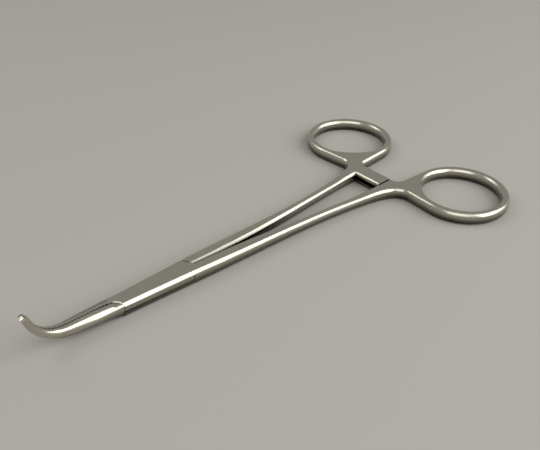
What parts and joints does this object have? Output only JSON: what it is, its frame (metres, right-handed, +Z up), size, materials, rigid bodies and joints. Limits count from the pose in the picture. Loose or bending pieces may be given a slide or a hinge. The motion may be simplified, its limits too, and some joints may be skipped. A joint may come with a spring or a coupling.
{
  "type": "dissecting forceps",
  "caption": "Box-lock dissecting forceps with slender upturned jaws that are serrated along the bite, long shanks, ratchet arms and finger rings, in satin stainless steel.",
  "frame": {"origin": "on the axis of the lock pin, in the plane of the lock's flat underside, on which the closed forceps lies", "axes": "+X along the seam towards the finger rings, so the jaws are at -X, +Y towards the half with the tenon at the finger rings, +Z up along the lock pin, the way the jaws turn up"},
  "size_m": [0.1395, 0.0724, 0.0115],
  "materials": {
    "steel": "satin",
    "pin_steel": "satin, dressed flush with the cheeks"
  },
  "bodies": {
    "cheek_body": {"box_half": "steel", "lock_pin": "pin_steel"},
    "tenon_body": {"tenon_half": "steel"}
  },
  "joints": [
    {"name": "box_lock", "type": "hinge", "parent": "cheek_body", "child": "tenon_body", "pos_m": [0, 0, 0], "axis": [0, 0, 1], "range_deg": [0, 45]}
  ]
}
